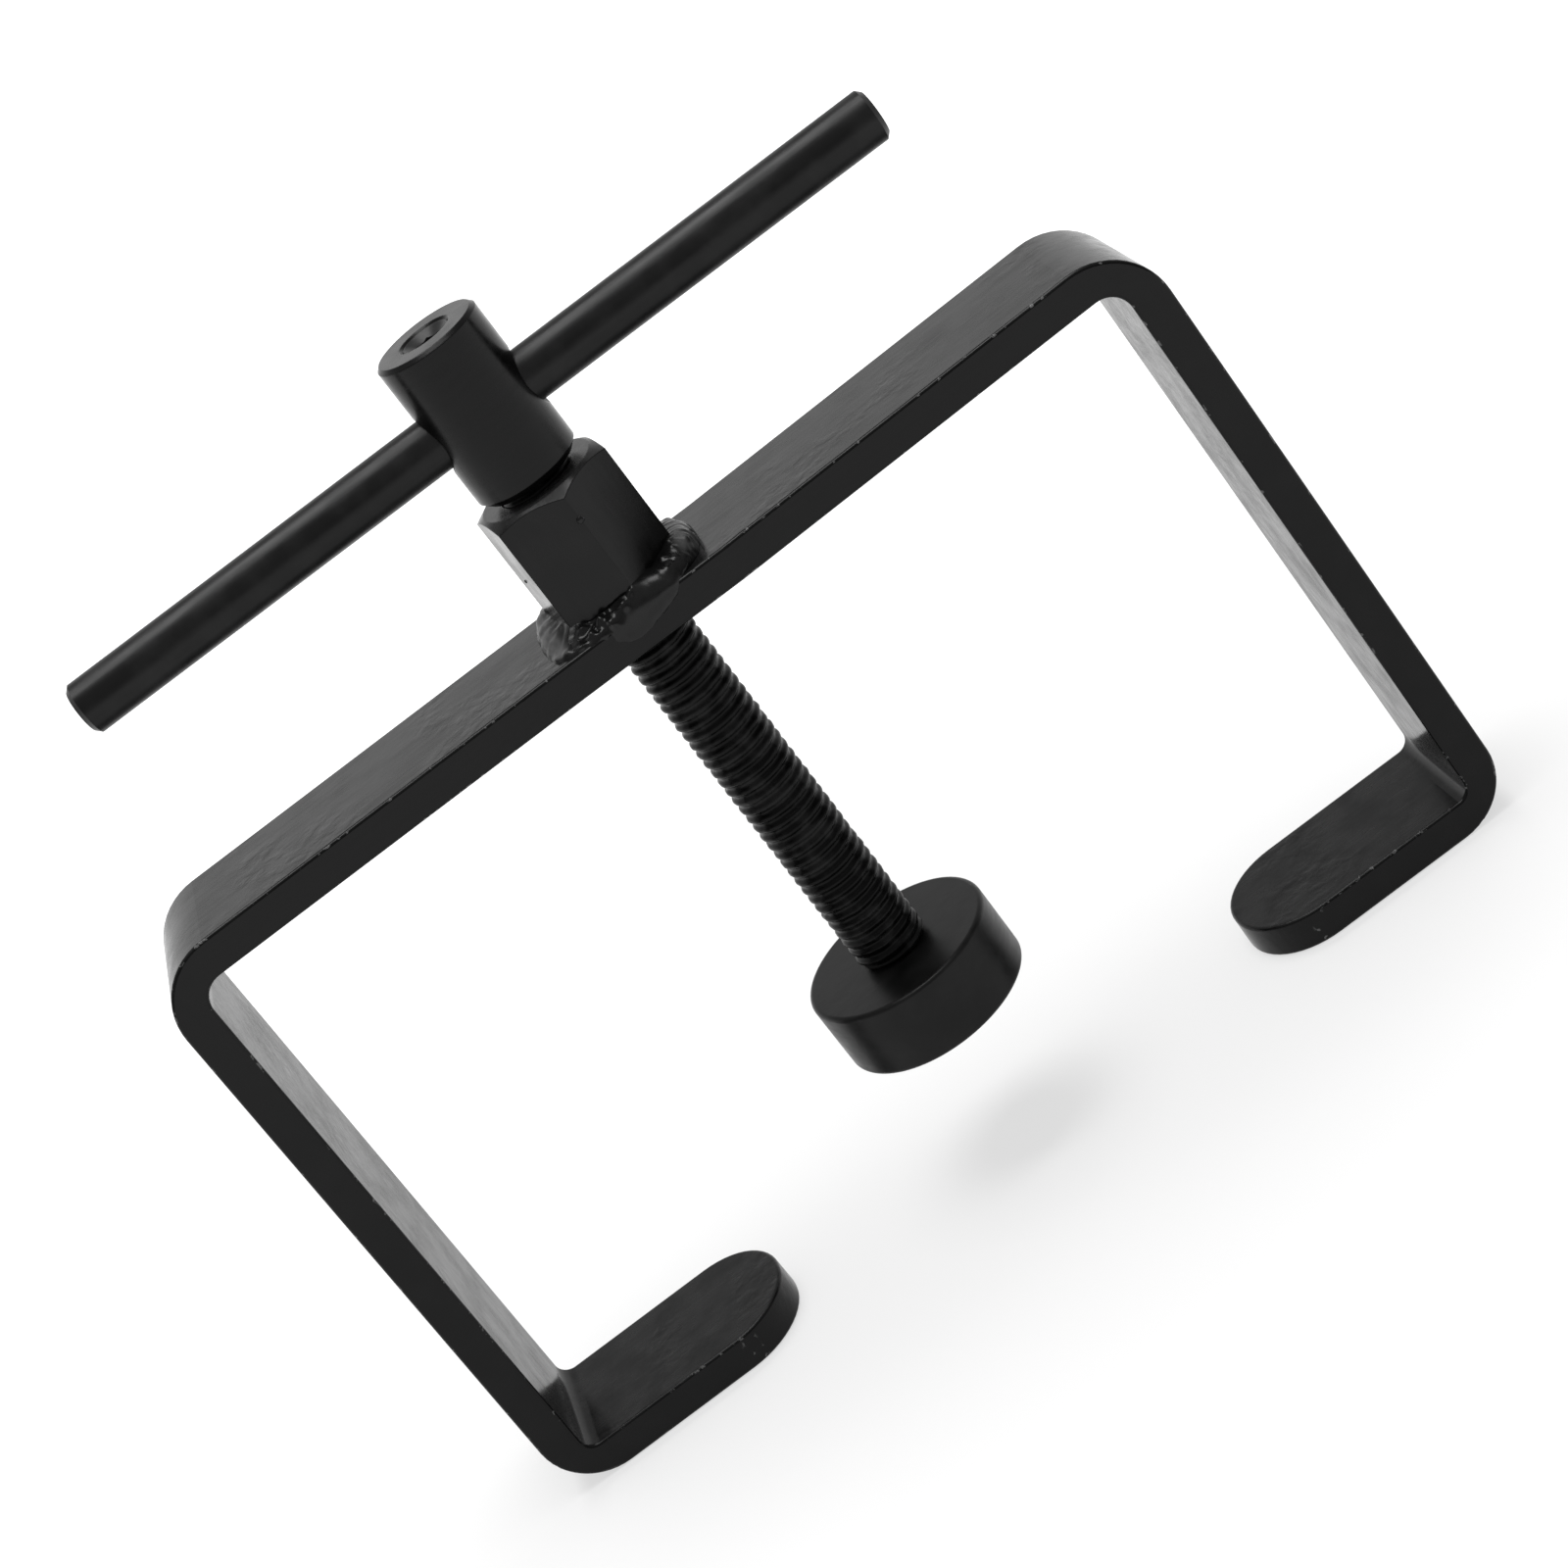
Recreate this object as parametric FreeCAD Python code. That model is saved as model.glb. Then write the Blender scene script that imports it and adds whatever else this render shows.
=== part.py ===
import FreeCAD, Part
import math
import os

# Screw clamp with a bent flat-bar frame. Millimetres. +Z runs up the screw
# towards the handle, +X along the top bar, and -Y is the front. The origin is
# on the screw's axis, level with the undersides of the two hooks.

# ---- Flat-bar frame
BAR_WIDTH = 25.4
BAR_THICK = 6.2
FRAME_WIDTH = 184.6          # across the two top corners
FRAME_HEIGHT = 116.5         # hooks' undersides to the top bar's middle
LEG_SPLAY = 1.5              # degrees, each leg leans outwards towards its hook
BAR_LIFT_LEFT = -0.2         # degrees, how far the nut's welds have pulled each
BAR_LIFT_RIGHT = 1.25        # half of the top bar up towards its end
NUT_SEAT = 16.0              # half length of the flat stretch under the nut
TOP_BEND_INSIDE = 4.2        # bend radii; the bar is drawn a little thin on each bend
TOP_BEND_OUTSIDE = 11.8
FOOT_BEND_INSIDE = 2.4
FOOT_BEND_OUTSIDE = 10.6
HOOK_GAP = 94.4              # between the hooks' tips
TIP_RADIUS = 12.2
BAR_EDGE = 0.6               # rounding of a hot-rolled bar's edges
SCREW_CLEARANCE_DIA = 14.0   # hole in the top bar

# ---- 1/2-13 UNC screw thread
MAJOR_DIA = 12.7
PITCH = 25.4 / 13
CREST_FLAT = PITCH / 8
THREAD_DEPTH = 0.6134 * PITCH
FLANK = math.tan(math.radians(30))
THREAD_FOOT = 0.15           # how far a thread is sunk into its core
THREAD_BLOCK_TURNS = 6
THREAD_PLAY = 0.12           # radial, screw to nut
FLANK_PLAY = 0.10            # along the screw, each side of a thread

# ---- Hexagonal nut welded on the top bar
NUT_FLATS = 20.6
NUT_HEIGHT = 21.7
NUT_TURN = 10.0              # degrees, the nut's first flat from +X
NUT_CHAMFER_DIA = 19.4       # flat circle left on the nut's top face
NUT_CHAMFER_SLOPE = math.tan(math.radians(30))

# ---- Weld beads round the nut's foot
BEAD_TOE_RADIUS = 15.2
BEAD_HEIGHT = 3.2
BEAD_THROAT_RADIUS = 13.9    # where the bead's rounded back is fullest
BEAD_THROAT_SHARE = 0.62     # of the bead's height, there
BEAD_INNER_RADIUS = 9.0
BEAD_EDGE_MARGIN = 0.7       # bare strip along the bar's edges
SIDE_BEAD_SPREAD = 88.0      # degrees of the ring that each bead takes
END_BEAD_SPREAD = 84.0

# ---- Head of the screw and its handle
HEAD_DIA = 17.6
HEAD_BOTTOM = 139.5
HEAD_HEIGHT = 26.4
HEAD_TOP_CHAMFER = 0.6
HEAD_FOOT_CHAMFER = 1.2
SPIGOT_DIA = 10.0
HANDLE_DIA = 8.7
HANDLE_LENGTH = 146.6
HANDLE_SHIFT = -0.8          # handle's middle from the screw's axis, along X
HANDLE_ABOVE_FOOT = 12.3     # handle's axis above the head's underside
HANDLE_CHAMFER = 0.8
HANDLE_HOLE_DIA = 8.9
HANDLE_HOLE_SINK = 0.9       # how far each mouth of the hole is opened out
SPIGOT_ROOT = 2.0            # how far the spigot starts down in the thread
SET_SCREW_DIA = 7.9
SET_SCREW_HOLE_DIA = 7.94
SET_SCREW_RECESS = 0.3
SET_SCREW_MOUTH = 0.5        # chamfer of its hole
SET_SCREW_DISH_DIA = 7.5     # cone that leads into the socket
SET_SCREW_DISH_SLOPE = math.tan(math.radians(30))
SET_SCREW_SOCKET = 3.97      # across flats
SET_SCREW_SOCKET_DEPTH = 3.6
SET_SCREW_CHAMFER = 0.6

# ---- Pressing pad and its bearing on the screw's lower end
PAD_DIA = 33.1
PAD_BOTTOM = 27.3
PAD_HEIGHT = 12.75
PAD_EDGE = 0.8
PAD_BORE_DIA = 9.62
PAD_RECESS_DIA = 19.0
PAD_RECESS_DEPTH = 4.2
JOURNAL_DIA = 9.5
JOURNAL_END_SETBACK = 0.7    # journal's end above the pad's face
SHOULDER_GAP = 0.05          # screw's shoulder above the pad
THREAD_END_CHAMFER = 1.0
WASHER_DIA = 17.5
WASHER_BORE_DIA = 9.7
WASHER_THICK = 1.2
WASHER_PLAY = 0.1
RING_THICK = 1.0
RING_DIA = 13.6
RING_GROOVE_DIA = 8.6
RING_GROOVE_PLAY = 0.05
RING_LUG_SPREAD = 60.0       # degrees between the two lugs
RING_OPENING = 40.0          # degrees cut out of it between the lugs
RING_LUG_OUT = 0.6           # lugs' middle outside the ring's middle line
RING_LUG_RADIUS = 1.5
RING_LUG_HOLE_DIA = 1.2
RING_PLAY = 0.1              # ring's bore over the groove's foot

HEAD_TOP = HEAD_BOTTOM + HEAD_HEIGHT
HANDLE_Z = HEAD_BOTTOM + HANDLE_ABOVE_FOOT
NUT_TOP = FRAME_HEIGHT + NUT_HEIGHT
PAD_TOP = PAD_BOTTOM + PAD_HEIGHT
RECESS_ROOF = PAD_BOTTOM + PAD_RECESS_DEPTH
WASHER_TOP = RECESS_ROOF - WASHER_PLAY
RING_TOP = WASHER_TOP - WASHER_THICK - WASHER_PLAY
UP = FreeCAD.Vector(0, 0, 1)


def cylinder(dia, bottom, top):
    return Part.makeCylinder(dia / 2, top - bottom, FreeCAD.Vector(0, 0, bottom))


def revolved(points):
    """A solid turned about the screw's axis from (radius, height) points."""
    corners = [FreeCAD.Vector(radius, 0, height) for radius, height in points]
    outline = Part.makePolygon(corners + corners[:1])
    return Part.Face(outline).revolve(FreeCAD.Vector(), UP, 360)


def chamfered_cylinder(dia, bottom, top, foot, crown):
    """A cylinder with a 45 degree chamfer of size foot below and crown above."""
    radius = dia / 2
    points = [(0, bottom), (radius - foot, bottom)]
    if foot:
        points.append((radius, bottom + foot))
    if crown:
        points.append((radius, top - crown))
    points += [(radius - crown, top), (0, top)]
    return revolved(points)


def hexagon(flats, bottom, top, turn=0.0):
    """A hexagonal prism whose first flat faces turn degrees from +X."""
    radius = flats / math.sqrt(3)
    corners = []
    for number in range(7):
        angle = math.radians(turn + 30 + 60 * number)
        corners.append(FreeCAD.Vector(radius * math.cos(angle), radius * math.sin(angle), bottom))
    return Part.Face(Part.makePolygon(corners)).extrude(UP * (top - bottom))


def thread_block(root, crest, crest_width):
    """THREAD_BLOCK_TURNS whole turns of right-hand thread on its core, standing on z = 0."""
    foot = root - THREAD_FOOT
    foot_width = crest_width + 2 * FLANK * (crest - foot)
    start = -PITCH
    helix = Part.makeHelix(PITCH, (THREAD_BLOCK_TURNS + 2) * PITCH, root)
    helix.translate(UP * start)
    corners = [FreeCAD.Vector(foot, 0, start - foot_width / 2),
               FreeCAD.Vector(crest, 0, start - crest_width / 2),
               FreeCAD.Vector(crest, 0, start + crest_width / 2),
               FreeCAD.Vector(foot, 0, start + foot_width / 2)]
    section = Part.makePolygon(corners + corners[:1])
    ridge = Part.Wire([helix]).makePipeShell([section], True, True)
    core = cylinder(2 * root, -2 * PITCH, (THREAD_BLOCK_TURNS + 2) * PITCH)
    return core.fuse(ridge).common(cylinder(4 * crest, 0, THREAD_BLOCK_TURNS * PITCH))


def threaded_bar(root, crest, crest_width, bottom, top):
    """Thread that reaches past bottom and top. Its turns cross the +X side at whole
    multiples of the pitch above z = 0, so every such bar is in mesh with every other."""
    block = thread_block(root, crest, crest_width)
    block_height = THREAD_BLOCK_TURNS * PITCH
    start = math.floor(bottom / PITCH) * PITCH
    count = math.ceil((top - start) / block_height)
    blocks = [block.translated(UP * (start + number * block_height)) for number in range(count)]
    return blocks[0].multiFuse(blocks[1:])


def frame_outline(bar_lift):
    """The side view of one half of the bent bar, drawn on the +X side: its corner points
    from the nut's seat out to the hook's tip and back, before any bend is rounded."""
    lift = math.tan(math.radians(bar_lift))
    splay = math.tan(math.radians(LEG_SPLAY))
    leg_thick = BAR_THICK / math.cos(math.radians(LEG_SPLAY))
    half_top = FRAME_WIDTH / 2
    corner_z = FRAME_HEIGHT + lift * (half_top - NUT_SEAT)
    half_foot = half_top + splay * corner_z
    inner_foot = half_foot - splay * BAR_THICK - leg_thick
    rise = corner_z - FRAME_HEIGHT + BAR_THICK + lift * NUT_SEAT
    inner_top = (half_top + splay * rise - leg_thick) / (1 + splay * lift)
    inner_top_z = FRAME_HEIGHT - BAR_THICK + lift * (inner_top - NUT_SEAT)
    tip = HOOK_GAP / 2
    return {
        "seat": (NUT_SEAT, FRAME_HEIGHT),
        "outer_top": (half_top, corner_z),
        "outer_foot": (half_foot, 0),
        "tip_low": (tip, 0),
        "tip_high": (tip, BAR_THICK),
        "inner_foot": (inner_foot, BAR_THICK),
        "inner_top": (inner_top, inner_top_z),
        "seat_low": (NUT_SEAT, FRAME_HEIGHT - BAR_THICK),
    }


def edges_at(solid, x, z):
    """The solid's edges that run along Y through (x, z)."""
    found = []
    for edge in solid.Edges:
        middle = edge.CenterOfMass
        along_y = abs(edge.BoundBox.YLength - BAR_WIDTH) < 0.01
        if along_y and math.hypot(middle.x - x, middle.z - z) < 0.01:
            found.append(edge)
    return found


def frame():
    """The flat bar: top bar, two legs and two inward hooks with rounded tips."""
    right = frame_outline(BAR_LIFT_RIGHT)
    left = {name: (-x, z) for name, (x, z) in frame_outline(BAR_LIFT_LEFT).items()}
    around = list(right.values()) + list(reversed(left.values()))
    corners = [FreeCAD.Vector(x, -BAR_WIDTH / 2, z) for x, z in around]
    side = Part.Face(Part.makePolygon(corners + corners[:1]))
    bar = side.extrude(FreeCAD.Vector(0, BAR_WIDTH, 0))
    for name, radius in (("inner_foot", FOOT_BEND_INSIDE), ("inner_top", TOP_BEND_INSIDE),
                         ("outer_foot", FOOT_BEND_OUTSIDE), ("outer_top", TOP_BEND_OUTSIDE)):
        bar = bar.makeFillet(radius, edges_at(bar, *right[name]) + edges_at(bar, *left[name]))
    tips = []
    for edge in bar.Edges:
        middle = edge.CenterOfMass
        upright = abs(edge.BoundBox.ZLength - BAR_THICK) < 0.01
        if upright and abs(abs(middle.x) - HOOK_GAP / 2) < 0.01:
            tips.append(edge)
    bar = bar.makeFillet(TIP_RADIUS, tips)
    bar = rounded_bar_edges(bar)
    hole = cylinder(SCREW_CLEARANCE_DIA, FRAME_HEIGHT - 2 * BAR_THICK, FRAME_HEIGHT + BAR_THICK)
    return bar.cut(hole)


def rounded_bar_edges(bar):
    """The bar with its two side outlines rounded, as rolled bar is."""
    side_edges = []
    for edge in bar.Edges:
        box = edge.BoundBox
        flat_on_side = box.YLength < 0.01 and abs(abs(box.YMax) - BAR_WIDTH / 2) < 0.01
        round_tip = box.ZLength < 0.01 and abs(box.XLength - TIP_RADIUS) < 0.01
        if (flat_on_side and edge.Length > BAR_THICK + 0.1) or round_tip:
            side_edges.append(edge)
    return bar.makeFillet(BAR_EDGE, side_edges)


def nut():
    """The tall hexagonal nut, chamfered on top, with its thread cut through."""
    blank = hexagon(NUT_FLATS, FRAME_HEIGHT, NUT_TOP, NUT_TURN)
    skirt = NUT_FLATS
    drop = (skirt - NUT_CHAMFER_DIA / 2) * NUT_CHAMFER_SLOPE
    crown = revolved([(0, FRAME_HEIGHT), (skirt, FRAME_HEIGHT), (skirt, NUT_TOP - drop),
                      (NUT_CHAMFER_DIA / 2, NUT_TOP), (0, NUT_TOP)])
    blank = blank.common(crown)
    minor = MAJOR_DIA - 1.0825 * PITCH + 2 * FLANK_PLAY
    lead_radius = MAJOR_DIA / 2 + THREAD_PLAY
    lead = lead_radius - minor / 2
    bore = revolved([(0, FRAME_HEIGHT - 1), (lead_radius, FRAME_HEIGHT - 1),
                     (lead_radius, FRAME_HEIGHT), (minor / 2, FRAME_HEIGHT + lead),
                     (minor / 2, NUT_TOP - lead), (lead_radius, NUT_TOP),
                     (lead_radius, NUT_TOP + 1), (0, NUT_TOP + 1)])
    tap = threaded_bar(minor / 2, lead_radius, CREST_FLAT + 2 * FLANK_PLAY, FRAME_HEIGHT, NUT_TOP)
    return blank.cut(bore).cut(tap)


def weld_ring():
    """The bulging ring of weld metal round the nut's foot, before it is split up."""
    toe = FreeCAD.Vector(BEAD_TOE_RADIUS, 0, FRAME_HEIGHT)
    throat_z = FRAME_HEIGHT + BEAD_THROAT_SHARE * BEAD_HEIGHT
    throat = FreeCAD.Vector(BEAD_THROAT_RADIUS, 0, throat_z)
    top = FreeCAD.Vector(BEAD_INNER_RADIUS, 0, FRAME_HEIGHT + BEAD_HEIGHT)
    root = FreeCAD.Vector(BEAD_INNER_RADIUS, 0, FRAME_HEIGHT)
    back = Part.Arc(toe, throat, top).toShape()
    section = Part.Wire([back, Part.makeLine(top, root), Part.makeLine(root, toe)])
    ring = Part.Face(section).revolve(FreeCAD.Vector(), UP, 360)
    depth = BAR_WIDTH - 2 * BEAD_EDGE_MARGIN
    corner = FreeCAD.Vector(-2 * BEAD_TOE_RADIUS, -depth / 2, FRAME_HEIGHT)
    strip = Part.makeBox(4 * BEAD_TOE_RADIUS, depth, 2 * BEAD_HEIGHT, corner)
    nut_space = hexagon(NUT_FLATS, FRAME_HEIGHT - 1, NUT_TOP, NUT_TURN)
    return ring.common(strip).cut(nut_space)


def weld_bead(facing, spread):
    """The stretch of weld ring centred facing degrees from +X and spread degrees long."""
    reach = 2 * BEAD_TOE_RADIUS
    sector = Part.makeCylinder(reach, 2 * BEAD_HEIGHT, FreeCAD.Vector(0, 0, FRAME_HEIGHT), UP, spread)
    sector.rotate(FreeCAD.Vector(), UP, facing - spread / 2)
    return weld_ring().common(sector)


def spindle():
    """The screw: spigot for the head, full-length thread, and journal for the pad."""
    shoulder = PAD_TOP + SHOULDER_GAP
    crest = MAJOR_DIA / 2
    envelope = revolved([(0, shoulder), (crest - THREAD_END_CHAMFER, shoulder),
                         (crest + THREAD_FOOT, shoulder + THREAD_END_CHAMFER + THREAD_FOOT),
                         (crest + THREAD_FOOT, HEAD_BOTTOM), (0, HEAD_BOTTOM)])
    shaft = threaded_bar(crest - THREAD_DEPTH, crest, CREST_FLAT, shoulder, HEAD_BOTTOM)
    shaft = shaft.common(envelope)
    spigot_top = HANDLE_Z - HANDLE_DIA / 2
    spigot = cylinder(SPIGOT_DIA, HEAD_BOTTOM - SPIGOT_ROOT, spigot_top)
    journal = cylinder(JOURNAL_DIA, PAD_BOTTOM + JOURNAL_END_SETBACK, shoulder + SPIGOT_ROOT)
    groove_top = RING_TOP + RING_GROOVE_PLAY
    groove_bottom = RING_TOP - RING_THICK - RING_GROOVE_PLAY
    groove = cylinder(JOURNAL_DIA + 2, groove_bottom, groove_top)
    groove = groove.cut(cylinder(RING_GROOVE_DIA, groove_bottom, groove_top))
    return shaft.fuse([spigot, journal]).cut(groove)


def head():
    """The round head: bored for the spigot, cross-drilled for the handle, tapped on top."""
    body = chamfered_cylinder(HEAD_DIA, HEAD_BOTTOM, HEAD_TOP, HEAD_FOOT_CHAMFER, HEAD_TOP_CHAMFER)
    body = body.cut(cylinder(SPIGOT_DIA, HEAD_BOTTOM - 1, HANDLE_Z))
    body = body.cut(cylinder(SET_SCREW_HOLE_DIA, HANDLE_Z, HEAD_TOP + 1))
    hole = SET_SCREW_HOLE_DIA / 2
    mouth_foot = FreeCAD.Vector(0, 0, HEAD_TOP - SET_SCREW_MOUTH)
    body = body.cut(Part.makeCone(hole, hole + SET_SCREW_MOUTH, SET_SCREW_MOUTH, mouth_foot))
    across = FreeCAD.Vector(1, 0, 0)
    centre = FreeCAD.Vector(0, 0, HANDLE_Z)
    drill_start = centre - across * HEAD_DIA
    body = body.cut(Part.makeCylinder(HANDLE_HOLE_DIA / 2, 2 * HEAD_DIA, drill_start, across))
    narrow = HANDLE_HOLE_DIA / 2 - HANDLE_HOLE_SINK
    for way in (across, across * -1):
        mouth = centre + way * (HEAD_DIA / 2 - 2 * HANDLE_HOLE_SINK)
        depth = 3 * HANDLE_HOLE_SINK
        body = body.cut(Part.makeCone(narrow, narrow + depth, depth, mouth, way))
    return body


def handle():
    """The plain round bar through the head."""
    bar = chamfered_cylinder(HANDLE_DIA, -HANDLE_LENGTH / 2, HANDLE_LENGTH / 2,
                             HANDLE_CHAMFER, HANDLE_CHAMFER)
    bar.rotate(FreeCAD.Vector(), FreeCAD.Vector(0, 1, 0), 90)
    bar.translate(FreeCAD.Vector(HANDLE_SHIFT, 0, HANDLE_Z))
    return bar


def set_screw():
    """The set screw that clamps the handle down on the spigot, dished round its socket."""
    top = HEAD_TOP - SET_SCREW_RECESS
    screw = chamfered_cylinder(SET_SCREW_DIA, HANDLE_Z + HANDLE_DIA / 2, top, SET_SCREW_CHAMFER, 0)
    screw = screw.cut(hexagon(SET_SCREW_SOCKET, top - SET_SCREW_SOCKET_DEPTH, top + 1))
    radius = SET_SCREW_DISH_DIA / 2
    dish = revolved([(0, top), (radius, top), (0, top - radius * SET_SCREW_DISH_SLOPE)])
    return screw.cut(dish)


def pad():
    """The thick pressing disc, bored for the journal and recessed underneath."""
    radius = PAD_DIA / 2
    bore = PAD_BORE_DIA / 2
    recess = PAD_RECESS_DIA / 2
    disc = revolved([(bore, RECESS_ROOF), (recess, RECESS_ROOF), (recess, PAD_BOTTOM),
                     (radius, PAD_BOTTOM), (radius, PAD_TOP), (bore, PAD_TOP)])
    rims = []
    for edge in disc.Edges:
        box = edge.BoundBox
        if box.ZLength < 0.01 and abs(box.XMax - radius) < 0.01:
            rims.append(edge)
    return disc.makeFillet(PAD_EDGE, rims)


def thrust_washer():
    bottom = WASHER_TOP - WASHER_THICK
    return cylinder(WASHER_DIA, bottom, WASHER_TOP).cut(cylinder(WASHER_BORE_DIA, bottom, WASHER_TOP))


def retaining_ring():
    """The open spring ring in the journal's groove, with two lugs for pliers."""
    bottom = RING_TOP - RING_THICK
    ring = cylinder(RING_DIA, bottom, RING_TOP)
    lug_circle = (RING_DIA + RING_GROOVE_DIA) / 4 + RING_LUG_OUT
    lug_places = []
    for side in (-1, 1):
        angle = math.radians(-90 + side * RING_LUG_SPREAD / 2)
        place = FreeCAD.Vector(lug_circle * math.cos(angle), lug_circle * math.sin(angle), bottom)
        lug_places.append(place)
    foot = FreeCAD.Vector(0, 0, bottom)
    gap = Part.makeCylinder(RING_DIA, RING_THICK, foot, UP, RING_OPENING)
    gap.rotate(FreeCAD.Vector(), UP, -90 - RING_OPENING / 2)
    for place in lug_places:
        ring = ring.fuse(Part.makeCylinder(RING_LUG_RADIUS, RING_THICK, place))
    ring = ring.cut(gap)
    for place in lug_places:
        ring = ring.cut(Part.makeCylinder(RING_LUG_HOLE_DIA / 2, RING_THICK, place))
    return ring.cut(cylinder(RING_GROOVE_DIA + RING_PLAY, bottom, RING_TOP))


def nodes():
    """Every piece by node name."""
    return {
        "frame": frame(),
        "screw_nut": nut(),
        "weld_left": weld_bead(NUT_TURN + 180, SIDE_BEAD_SPREAD),
        "weld_right": weld_bead(NUT_TURN, SIDE_BEAD_SPREAD),
        "weld_front": weld_bead(NUT_TURN + 270, END_BEAD_SPREAD),
        "weld_back": weld_bead(NUT_TURN + 90, END_BEAD_SPREAD),
        "spindle": spindle(),
        "handle_head": head(),
        "handle_bar": handle(),
        "set_screw": set_screw(),
        "pressing_pad": pad(),
        "thrust_washer": thrust_washer(),
        "retaining_ring": retaining_ring(),
    }


def main():
    os.makedirs("parts", exist_ok=True)
    for name, shape in nodes().items():
        if len(shape.Solids) == 1:
            shape = shape.Solids[0]
        shape.exportStep("parts/" + name + ".step")


main()
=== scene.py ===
"""The looks of the twin-hook clamp: black enamel, rough weld and a paint-filled thread on the
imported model, with the floor, the soft light and the camera round it."""

import math

import bpy
from mathutils import Matrix, Vector, noise


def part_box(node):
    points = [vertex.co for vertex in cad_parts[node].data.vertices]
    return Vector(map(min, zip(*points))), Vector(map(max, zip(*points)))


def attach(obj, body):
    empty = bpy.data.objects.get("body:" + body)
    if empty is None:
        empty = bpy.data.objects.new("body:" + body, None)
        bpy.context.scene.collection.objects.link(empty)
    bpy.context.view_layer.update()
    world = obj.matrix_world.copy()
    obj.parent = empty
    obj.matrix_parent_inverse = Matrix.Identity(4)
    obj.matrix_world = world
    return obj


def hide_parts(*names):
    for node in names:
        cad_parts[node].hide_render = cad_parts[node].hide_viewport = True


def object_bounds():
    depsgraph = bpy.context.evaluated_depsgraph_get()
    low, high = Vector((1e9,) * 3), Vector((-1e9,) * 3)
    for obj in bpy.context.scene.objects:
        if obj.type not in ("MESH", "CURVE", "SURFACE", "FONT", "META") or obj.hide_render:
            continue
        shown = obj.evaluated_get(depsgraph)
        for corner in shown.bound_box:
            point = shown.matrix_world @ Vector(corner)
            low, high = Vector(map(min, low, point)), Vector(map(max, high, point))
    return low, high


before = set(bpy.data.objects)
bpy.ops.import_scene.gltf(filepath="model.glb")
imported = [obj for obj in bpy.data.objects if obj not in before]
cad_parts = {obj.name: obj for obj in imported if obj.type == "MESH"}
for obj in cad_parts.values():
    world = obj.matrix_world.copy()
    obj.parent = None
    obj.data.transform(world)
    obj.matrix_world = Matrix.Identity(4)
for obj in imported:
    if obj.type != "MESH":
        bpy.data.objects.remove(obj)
cad_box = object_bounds()

MM = 0.001

# ---------------------------------------------------------------- camera, mm, radians and metres
CAMERA_LENS = 75.1
CAMERA_SENSOR = 36.0
CAMERA_CLIP = (0.02, 20.0)
CAMERA_AZIMUTH = math.radians(1.552)
CAMERA_ELEVATION = math.radians(23.581)
CAMERA_ROLL = math.radians(37.476)
CAMERA_DISTANCE = 0.51265
CAMERA_TARGET = Vector((0.00184, 0.0, 0.07446))

# ---------------------------------------------------------------- light and floor, metres
FLOOR_HALF = 3.0
FLOOR_TONE = 0.36
FLOOR_GLOW_NEAR = 0.60       # light given off under the clamp, less than further out: painted shade round the clamp
FLOOR_GLOW_FAR = 0.98        # and away from it
FLOOR_GLOW_FADE = (0.05, 0.42)  # distances from the middle between which it changes
SKY_BEHIND = 1.01
SKY_HIGH = 0.45
SKY_FRONT_LEFT = 0.34
SKY_FRONT_RIGHT = 0.22
SKY_TO_BEHIND = (-0.15, 0.55)   # the direction's Y, Z and X between which the sky's parts meet
SKY_TO_HIGH = (0.30, 0.50)
SKY_LEFT_TO_RIGHT = (-0.35, 0.35)
TOP_LIGHT_PLACE = (0.0, 0.15, 1.6)
TOP_LIGHT_SIZE = 1.1
TOP_LIGHT_RADIANCE = 7.0

# ---------------------------------------------------------------- paint, sizes in metres
CLOUD_SIZE = 0.006           # patches of uneven gloss and tone
GRAIN_SIZE = 0.0011          # orange peel, fine
PEEL_SIZE = 0.010            # orange peel, coarse
STREAK_SIZE = 0.0009         # width of a drawn-out streak
WORN_SIZE = 0.0035
CHIP_SIZE = 0.0012
CHIP_TONE = 0.10
CHIP_DEPTH = 2.0             # in units of BUMP_DEPTH, like the heights below
CHIP_OUTER = (0.00002, 0.0001)  # chips start and are full this far inside the bar's face
CHIP_INNER = (0.0006, 0.0004)   # chips end and are full this far inside it
RUN_PATCH_SIZE = 0.019       # patches of paint with runs and scabs
RUN_SIZE = 0.0045
SCAB_SIZE = 0.0026
SPECKS_PER_METRE = 330.0
SPECK_EDGE = (0.045, 0.030)  # a speck's foot and top, in shares of the specks' spacing
SPECK_PATCH_SIZE = 0.012
SPECK_TONE = 0.012
PAINTED_TOP_SHEEN_FACING = (0.45, 0.95)  # the normal's Z where the painted highlight on upward faces starts and is full
PAINTED_TOP_SHEEN_FADE = 0.002
LEG_STARTS = (0.086, 0.090)  # |x| where the top bar gives way to the legs
LEG_BUMP = 0.4               # height of the legs' bumps beside the bar's
BUMP_DEPTH = 0.00002
STEEL_STAIN_SIZE = 0.003
STEEL_MARK_SIZE = 0.0003
STEEL_BUMP_DEPTH = 0.00001
STEEL_METALLIC = 0.9
ALONG_BAR = (22.0, 1.0, 1.0)  # how much longer a streak is along X, Y and Z
UP_LEG = (1.0, 1.0, 22.0)
ROUND_HEAD = (8.0, 8.0, 1.0)
ROUND_PAD = (6.0, 6.0, 1.0)
ROUND_STEEL = (6.0, 6.0, 1.0)
BAR_HALF = 0.0127

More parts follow.
